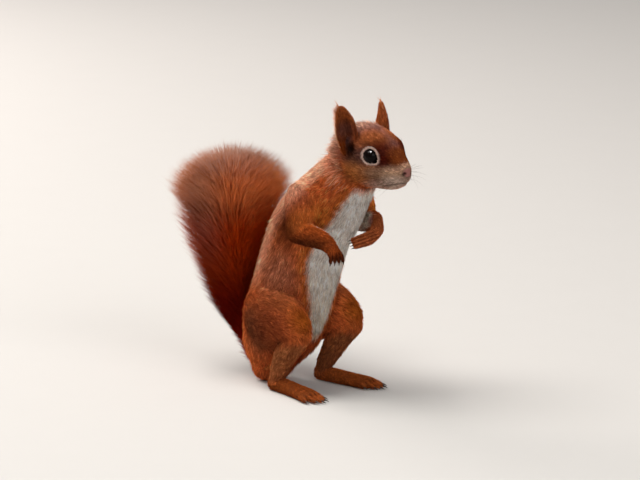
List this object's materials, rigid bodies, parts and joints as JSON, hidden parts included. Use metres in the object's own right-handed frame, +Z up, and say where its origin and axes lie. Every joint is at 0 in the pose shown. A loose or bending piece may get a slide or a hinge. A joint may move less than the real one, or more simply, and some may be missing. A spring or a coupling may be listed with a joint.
{
  "type": "red squirrel",
  "caption": "Red squirrel sitting upright on its hind feet with its forepaws held at the chest and its bushy tail raised behind its back.",
  "frame": {"origin": "on the floor, under the middle of the box round the whole animal", "axes": "+Z up, the animal faces -Y, and its left side is towards +X"},
  "size_m": [0.087, 0.2044, 0.2032],
  "materials": {
    "coat": "short red-brown fur with a white front",
    "tail_coat": "long loose red-brown hair with paler tips",
    "ear": "thin skin with sparse short hair",
    "paw": "short-haired skin with bare pads",
    "eye": "wet gloss",
    "claw": "dark horn"
  },
  "bodies": {
    "root": {"head": "coat", "neck": "coat", "trunk": "coat", "tail_base": "tail_coat", "tail_middle": "tail_coat", "tail_tip": "tail_coat", "ear_left": "ear", "eye_left": "eye", "upper_arm_left": "coat", "forearm_left": "coat", "thigh_left": "coat", "shin_left": "coat", "hand_left": "paw", "foot_left": "paw", "claw_hand_left_1": "claw", "claw_hand_left_2": "claw", "claw_hand_left_3": "claw", "claw_hand_left_4": "claw", "claw_foot_left_1": "claw", "claw_foot_left_2": "claw", "claw_foot_left_3": "claw", "claw_foot_left_4": "claw", "claw_foot_left_5": "claw", "ear_right": "ear", "eye_right": "eye", "upper_arm_right": "coat", "forearm_right": "coat", "thigh_right": "coat", "shin_right": "coat", "hand_right": "paw", "foot_right": "paw", "claw_hand_right_1": "claw", "claw_hand_right_2": "claw", "claw_hand_right_3": "claw", "claw_hand_right_4": "claw", "claw_foot_right_1": "claw", "claw_foot_right_2": "claw", "claw_foot_right_3": "claw", "claw_foot_right_4": "claw", "claw_foot_right_5": "claw"}
  },
  "joints": []
}
